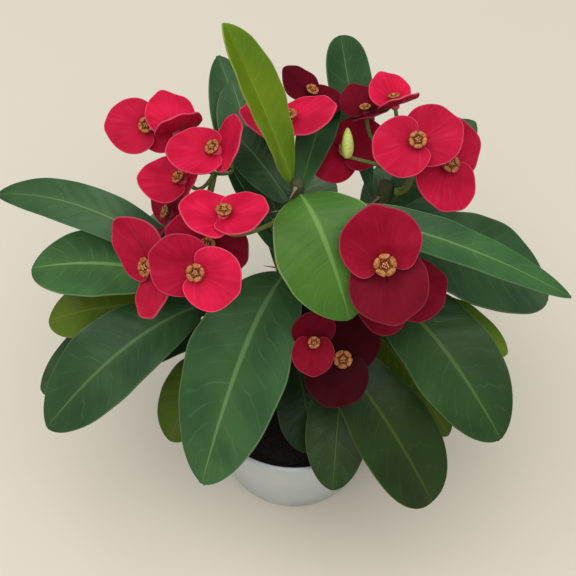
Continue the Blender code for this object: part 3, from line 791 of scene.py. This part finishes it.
# stalks, middle, lean from upright, its direction, direction of the first bract, size, stand
blooms = {
    "bloom_left_outer": ("stalks_left_back", (-75, 65, 260), 30, -110, 181, 0.95, 10),
    "bloom_left_high": ("stalks_left_back", (-59, 52, 272), 34, 108, 112, 0.82, 38),
    "bloom_left_inner": ("stalks_left_back", (-37, 31, 283), 28, 190, 184, 0.89, 34),
    "bloom_left_side": ("stalks_left_back", (-55, 33, 256), 36, 180, 172, 0.87, 32),
    "bloom_left_below": ("stalks_left_back", (-62, 28, 234), 56, 180, 88, 0.87, 30),
    "bloom_left_centre": ("stalks_centre_left", (-34, -1, 275), 10, 90, -8, 0.92, 18),
    "bloom_left_lower": ("stalks_left_front", (-44, 2, 247), 35, -80, -25, 0.93, 14),
    "bloom_left_front": ("stalks_left_front", (-47, -25, 266), 36, -90, -28, 1.0, 12),
    "bloom_left_corner": ("stalks_left_front", (-68, -10, 246), 55, -150, 90, 1.12, 26),
    "bloom_top_back": ("stalks_centre_back", (-4, 59, 269), 16, 90, 0, 1.05, 20),
    "bloom_top_dark": ("stalks_centre_back", (7, 87, 258), 22, 15, 160, 0.8, 14),
    "bloom_right_inner": ("stalks_right_back", (26, 68, 236), 32, -80, 32, 0.95, 14),
    "bloom_right_dark": ("stalks_right_back", (36, 71, 262), 22, 110, 115, 0.7, 28),
    "bloom_right_high": ("stalks_right_back", (50, 69, 272), 30, 110, 110, 0.7, 34),
    "bloom_right_centre": ("stalks_right_back", (59, 43, 276), 26, -90, 205, 1.02, 10),
    "bloom_right_outer": ("stalks_right_back", (76, 46, 252), 30, -50, -95, 1.12, 12),
    "bloom_front_right": ("stalks_right_front", (42, -15, 256), 34, -90, 100, 1.28, 14),
    "bloom_front_side": ("stalks_right_front", (52, -12, 220), 40, -60, 25, 1.08, 12),
    "bloom_front_low": ("stalks_centre_front", (8, -31, 208), 44, -70, -84, 0.74, 20),
    "bloom_front_dark": ("stalks_centre_front", (24, -29, 184), 34, -80, -105, 1.15, 12),
}

bloomShade = {  # painted light and shade: brightness of the upper and the lower bract, low in the shade of others
    "bloom_left_outer": (0.8, 0.75),
    "bloom_left_side": (0.85, 0.75),
    "bloom_left_centre": (1.05, 1.15),
    "bloom_left_front": (1.02, 0.66),
    "bloom_left_below": (0.45, 0.4),
    "bloom_left_lower": (0.3, 0.6),
    "bloom_left_corner": (0.75, 0.85),
    "bloom_top_dark": (0.16, 0.2),
    "bloom_right_inner": (0.55, 0.65),
    "bloom_right_dark": (0.22, 0.25),
    "bloom_right_centre": (0.85, 0.8),
    "bloom_right_outer": (0.8, 0.7),
    "bloom_front_right": (0.52, 0.25),
    "bloom_front_side": (0.3, 0.32),
    "bloom_front_low": (0.4, 0.22),
    "bloom_front_dark": (0.07, 0.07),
}


def bloomMatrix(spec):
    _, middle, lean, toward, first, size, _ = spec
    tilt, heading = math.radians(lean), math.radians(toward)
    axis = Vector((math.sin(tilt) * math.cos(heading), math.sin(tilt) * math.sin(heading), math.cos(tilt)))
    ahead = Vector((math.cos(math.radians(first)), math.sin(math.radians(first)), 0))
    ahead = (ahead - axis * ahead.dot(axis)).normalized()
    turn = Matrix((ahead, axis.cross(ahead), axis)).transposed().to_4x4()
    return Matrix.Translation(Vector(middle)) @ turn @ Matrix.Scale(size, 4)


def collarTop(stand):  # the collar is taller where the bracts stand up more
    return bract["collarHead"] + (bract["collar"] + 0.5) * math.tan(math.radians(stand))


def modelBract():
    bpy.ops.mesh.primitive_circle_add(vertices=bract["spokes"], radius=1, fill_type="NGON")
    made = started("bract")
    opened(made)
    for step in bract["rings"]:
        bpy.ops.mesh.inset(thickness=step)
    bpy.ops.mesh.poke()
    bpy.ops.object.mode_set(mode="OBJECT")
    made.data.uv_layers[0].name = "petal"
    for loop, corner in zip(made.data.loops, made.data.uv_layers[0].data):
        point = made.data.vertices[loop.vertex_index].co
        corner.uv = (0.5 + point.x / 2, 0.5 + point.y / 2)
    return made


def bentBract(name, flat, matrix, turnedOver, stand, lift, seed):
    made = copied(flat, name)
    slope = math.tan(math.radians(stand))
    for vertex in made.data.vertices:
        angle = math.atan2(vertex.co.y, vertex.co.x)
        reach = vertex.co.length
        inward = math.pi - abs(angle)
        radius = bract["radius"] * (1 - bract["notch"] * math.exp(-(inward / 0.38) ** 2))
        radius *= 1 + bract["point"] * math.exp(-(angle / 0.25) ** 2)
        wander = noise.noise(Vector((math.cos(angle) * 1.3, math.sin(angle) * 1.3, seed)))
        radius *= 1 + bract["uneven"] * wander * min(1, inward)
        x = bract["offset"] + reach * radius * math.cos(angle)
        y = bract["stretch"] * reach * radius * math.sin(angle)
        rise = lift + slope * (x + math.hypot(x, 4.0)) / 2 + bract["dish"] * reach
        rise += bract["ripple"] * reach * math.sin(3 * angle + lift)
        rise += bract["crimp"] * reach ** 3 * math.sin(7 * angle + seed) * min(1, inward)
        rise -= bract["crease"] * math.exp(-(y / 1.6) ** 2) * min(1, x / 8) * (1 - reach ** 4)
        point = Vector((-x, -y, rise) if turnedOver else (x, y, rise))
        vertex.co = matrix @ point * mm
    return made


def makeBloom(node, flat, top, under):
    spec = blooms[node]
    matrix, stand = bloomMatrix(spec), spec[-1]
    seed = seedOf(node) * 0.37
    # painted light and shade from the table, or else a small random tone
    shadeAndTone = bloomShade.get(node, (0.98 + 0.06 * math.sin(seed), 0.95 + 0.06 * math.cos(seed)))
    upper = bentBract(plainName(node), flat, matrix, False, stand, bract["upperLift"], seed)
    lower = bentBract("lower", flat, matrix, True, stand, bract["lowerLift"], seed + 5)
    made = joined([marked(upper, "tone", shadeAndTone[0]), marked(lower, "tone", shadeAndTone[1])])
    modified(made, "SOLIDIFY", thickness=bract["thickness"] * mm, offset=0.0, material_offset=1,
             use_even_offset=False)
    painted(made, top, under)
    profile = [(bract["collarHole"], bract["collarFoot"]), (bract["collar"] - 0.6, bract["collarFoot"]),
               (bract["collar"], bract["collarFoot"] + 0.8), (bract["collar"], collarTop(stand) - 0.5),
               (bract["collar"] - 0.5, collarTop(stand)), (bract["collarHole"], collarTop(stand))]
    collar = turnedShell("collar", profile, 24, closed=True)
    collar.data.transform(Matrix.Scale(mm, 4) @ matrix @ Matrix.Scale(1 / mm, 4))
    marked(painted(collar, top), "tone", shadeAndTone[0])
    settled(smoothed(joined([made, collar]), 50), "bract_red", node)


def makeBlooms():
    flat = modelBract()
    top, under = bractFinish("top"), bractFinish("under")
    for node in blooms:
        makeBloom(node, flat, top, under)
    bpy.data.objects.remove(flat)


# Stalks, and on each the small cups with five glands and their stamens

cup = {"foot": 2.208, "room": 0.5, "glands": 5, "stamens": 8, "seed": 11}
stalk = {"radius": 1.0, "trunk": 1.9, "room": 0.9, "knee": 8, "sides": 12}

stalks = {  # stem, height of the foot, fork
    "stalks_left_back": ("stem_left", 219, (-42, 50, 242)),
    "stalks_left_front": ("stem_left", 214, (-47, -12, 236)),
    "stalks_centre_left": ("stem_centre", 240, (-10, 12, 253)),
    "stalks_centre_back": ("stem_centre", 236, (-8, 50, 248)),
    "stalks_right_back": ("stem_right", 222, (60, 50, 240)),
    "stalks_right_front": ("stem_centre", 234, (30, -2, 236)),
    "stalks_centre_front": ("stem_centre", 192, (-6, -12, 176)),
}

buds = {"budRight": ("stalks_right_back", (26, 52, 262), 50, 90)}  # stalks, middle, lean, its direction


def ball(name, place, shape, segments, rings):
    bpy.ops.mesh.primitive_uv_sphere_add(segments=segments, ring_count=rings, radius=1)
    made = started(name)
    made.data.transform(Matrix.Translation(Vector(place)) @ Matrix.Diagonal((*shape, 1)))
    return made


def modelCup():
    green, ochre, red, yellow = cupFinish(), glandFinish(), heartFinish(), antherFinish()
    draw = random.Random(cup["seed"])
    foot = cup["foot"]
    profile = [(foot, 0), (foot + 0.5, 0.25), (3.1, 1.3), (3.75, 2.1), (3.9, 2.5), (3.7, 2.75), (3.0, 2.5),
               (2.2, 1.8), (1.2, 1.5)]
    bowl = painted(turnedShell("cupBowl", profile, 40), green)
    bowl.data.transform(Matrix.Scale(1 / mm, 4))
    parts = [bowl]
    for index in range(cup["glands"]):
        gland = ball("gland", (0, 0, 0), (1.2, 2.2, 0.68), 18, 10)
        for vertex in gland.data.vertices:  # two lobes, and a lumpy top
            x, y, z = vertex.co
            notch = math.exp(-(y / 0.45) ** 2)
            x -= 0.2 * notch * (x > 0)
            z -= 0.15 * notch * (z > 0)
            lump = noise.noise(Vector((x * 1.7, y * 1.7, index * 3.0 + z)))
            vertex.co = (x * (1 + 0.12 * lump) + 3.25, y * (1 + 0.10 * lump), z + 0.22 * lump + 2.85)
        turn = Matrix.Rotation(2 * math.pi * index / cup["glands"] + draw.uniform(-0.06, 0.06), 4, "Z")
        gland.data.transform(turn)
        parts.append(painted(gland, ochre))
        fringe = ball("fringe", (1.95, 0, 2.75), (0.35, 0.75, 0.55), 10, 6)
        fringe.data.transform(Matrix.Rotation(2 * math.pi * (index + 0.5) / cup["glands"], 4, "Z"))
        parts.append(painted(fringe, red))
    parts.append(painted(ball("heart", (0, 0, 1.7), (1.7, 1.7, 0.8), 16, 8), red))
    for index in range(cup["stamens"]):
        angle = index * 2.4
        reach = 0.35 + 0.95 * math.sqrt(index / cup["stamens"])
        x, y, top = reach * math.cos(angle), reach * math.sin(angle), draw.uniform(3.0, 3.6)
        bpy.ops.mesh.primitive_cone_add(vertices=6, radius1=0.16, radius2=0.10, depth=top - 2,
                                        location=(x, y, (top + 2) / 2))
        parts.append(painted(started("stamen"), red))
        for lobe in (-0.17, 0.17):
            anther = ball("anther", (x + lobe, y, top + 0.1), (0.22, 0.22, 0.26), 8, 6)
            parts.append(painted(anther, yellow))
    return smoothed(joined(parts), 60)


def upright(matrix):
    return (matrix.to_3x3() @ Vector((0, 0, 1))).normalized()


def makeBloomStalk(bloom, foot, fork, blankCup):  # the thin stalk, and the cup that stands on it
    spec = blooms[bloom]
    matrix = bloomMatrix(spec)
    size, stand = spec[5], spec[6]
    up, middle = upright(matrix), matrix.translation
    start = fork - (fork - foot).normalized()
    low = middle - up * 6 * size
    bend = middle - up * 0.6 * (low - start).length
    cupFoot = collarTop(stand) + cup["room"]
    run = [arc(start, bend, low, share) for share in steps(12)]
    run.append(middle + up * (cupFoot + 1) * size)
    radii = [stalk["radius"] * (1.25 - 0.3 * min(1, step / 6) + 0.12 * (step > 10))
             for step in range(len(run))]
    thin = pipe(bloom + "Stalk", run, radii, stalk["sides"])
    seat = copied(blankCup, "cup" + plainName(bloom)[5:])
    turn = Matrix.Rotation(seedOf(bloom), 4, "Z")
    seat.data.transform(Matrix.Scale(mm, 4) @ matrix @ Matrix.Translation((0, 0, cupFoot)) @ turn)
    settled(seat, "stalk_green")
    return thin


def makeBud(bud, fork):
    owner, middle, lean, toward = buds[bud]
    matrix = bloomMatrix((owner, middle, lean, toward, 0, 1.0, 0))
    low = Vector(middle) - upright(matrix) * 6
    thin = pipe(bud + "Stalk", [fork, fork.lerp(low, 0.5), low, Vector(middle)], [stalk["radius"]] * 4,
                stalk["sides"])
    profile = [(0.7, -7), (1.7, -6.7), (2.5, -5.5), (3.1, -3), (3.25, -1), (3.0, 1.5), (2.4, 4.2),
               (1.6, 6.5), (0.8, 8.0), (0.3, 8.4)]
    closedBud = turnedShell(bud, profile, 30)
    for vertex in closedBud.data.vertices:  # wound, with three soft seams
        angle = math.atan2(vertex.co.y, vertex.co.x) + vertex.co.z / mm * 0.09
        pinch = 1 - 0.10 * abs(math.sin(1.5 * angle)) ** 6
        vertex.co.x *= pinch
        vertex.co.y *= pinch
    closedBud.data.transform(Matrix.Scale(mm, 4) @ matrix @ Matrix.Scale(1 / mm, 4))
    settled(painted(smoothed(closedBud, 60), budFinish()), "stalk_green")
    return thin


def makeStalks(node, blankCup, green):
    stem, height, fork = stalks[node]
    fork = Vector(fork)
    foot, heading = seatOnStem(stem, height, fork, stalk["room"])
    knee = foot + heading * stalk["knee"]
    run = [arc(foot, knee, fork, share) for share in steps(16)]
    radii = [stalk["trunk"] * (1.12 - 0.2 * step / len(run)) for step in range(len(run))]
    parts = [pipe(plainName(node), run, radii, stalk["sides"])]
    parts += [makeBloomStalk(bloom, foot, fork, blankCup) for bloom in blooms if blooms[bloom][0] == node]
    parts += [makeBud(bud, fork) for bud in buds if buds[bud][0] == node]
    settled(smoothed(painted(joined(parts), green), 60), "stalk_green", node)


def makeAllStalks():
    green = stalkFinish()
    blankCup = modelCup()
    for node in stalks:
        makeStalks(node, blankCup, green)
    bpy.data.objects.remove(blankCup)


# Stems with their thorns; a thorn stands only where the plain stem has one

trunk = {"steps": 24, "sides": 32, "knob": 0.28, "knobPitch": 0.55, "ridge": 0.35, "roundTip": 4.0}
thorn = {"first": 100, "step": 6.0, "turn": 137.5, "length": 10.0, "radius": 1.3, "stop": 8}


def modelThorn():
    bpy.ops.mesh.primitive_cone_add(vertices=10, radius1=1, radius2=0.12, depth=1, end_fill_type="TRIFAN")
    made = started("thorn")
    opened(made)
    bpy.ops.transform.translate(value=(0, 0, 0.5))
    for cut in (0.12, 0.3, 0.6):
        bpy.ops.mesh.select_all(action="SELECT")
        bpy.ops.mesh.bisect(plane_co=(0, 0, cut), plane_no=(0, 0, 1))
    bpy.ops.object.mode_set(mode="OBJECT")
    for vertex in made.data.vertices:  # a broad foot that narrows quickly to a needle
        height = vertex.co.z
        slim = 0.55 + 0.45 * math.exp(-(height / 0.16) ** 2)
        vertex.co.x *= slim
        vertex.co.y *= slim
        vertex.co.x += 0.10 * height * height
    return made


def makeStem(node, needle, bark, horn):
    spec = stems[node]
    foot, tip = spec["radius"]
    path = curveThrough(spec["path"], trunk["steps"])
    low, high, top = path[0].z, path[-1].z, path[-1]
    lean = (top - path[-2]).normalized()
    path = [point for point in path if point.z < high - trunk["roundTip"] - 0.5]
    radii = []
    for point in path:
        knob = trunk["knob"] * max(0, math.sin(point.z * trunk["knobPitch"])) ** 3  # old leaf scars
        radii.append(foot + (tip - foot) * (point.z - low) / (high - low) + knob)
    for angle in steps(7):  # a round growing tip
        path.append(top - lean * trunk["roundTip"] * (1 - math.sin(angle * math.pi / 2)))
        radii.append(max(0.15, tip * math.cos(angle * math.pi / 2)))
    made = pipe(plainName(node), path, radii, trunk["sides"])
    for vertex in made.data.vertices:
        where = vertex.co / mm
        axis = stemAt(node, min(high - 0.01, max(low + 0.01, where.z)))[0]
        out = (where - axis) * Vector((1, 1, 0))
        ridge = noise.noise(Vector((out.x * 0.5, out.y * 0.5, where.z * 0.05)))
        ridge += 0.5 * noise.noise(Vector((out.x, out.y, where.z * 0.3)))
        vertex.co = (where + out.normalized() * ridge * trunk["ridge"] * min(1, out.length / 2)) * mm
    painted(made, bark)
    marked(made, "age", lambda point: (point.z / mm - low) / (high - low))
    parts = [made]
    plain = [vertex.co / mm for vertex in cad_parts[node].data.vertices]
    height, turn = float(thorn["first"]), 0.0
    while height < spec["path"][-1][2] - thorn["stop"]:
        turn += math.radians(thorn["turn"])
        height += thorn["step"]
        axis, radius, _ = stemAt(node, height)
        out = Vector((math.cos(turn), math.sin(turn), 0.25)).normalized()
        point = axis + out * (radius + thorn["length"])
        if min((corner - point).length for corner in plain) > 0.6:
            continue
        root = axis + out * radius * 0.8
        spike = copied(needle, "thorn")
        spread = Matrix.Diagonal((thorn["radius"], thorn["radius"], (point - root).length, 1))
        aim = out.to_track_quat("Z", "Y").to_matrix().to_4x4()
        spike.data.transform(Matrix.Scale(mm, 4) @ Matrix.Translation(root) @ aim @ spread)
        parts.append(painted(spike, horn))
    settled(smoothed(joined(parts), 60), "stem_bark", node)


def makeStems():
    bark, horn = barkFinish(), thornFinish()
    needle = modelThorn()
    for node in stems:
        makeStem(node, needle, bark, horn)
    bpy.data.objects.remove(needle)


def makeFloor():
    bpy.ops.mesh.primitive_plane_add(size=floor["size"])
    painted(started("floor"), floorFinish())


setCamera()
setLights()
makeFloor()
print("camera, lights and floor set")
makePot()
makeSoil()
print("pot and soil made")
makeLeaves()
print("leaves made:", len(leaves))
makeBlooms()
print("blooms made:", len(blooms))
makeAllStalks()
print("stalks and cups made:", len(stalks))
makeStems()
print("stems made:", len(stems))

deselectAll()
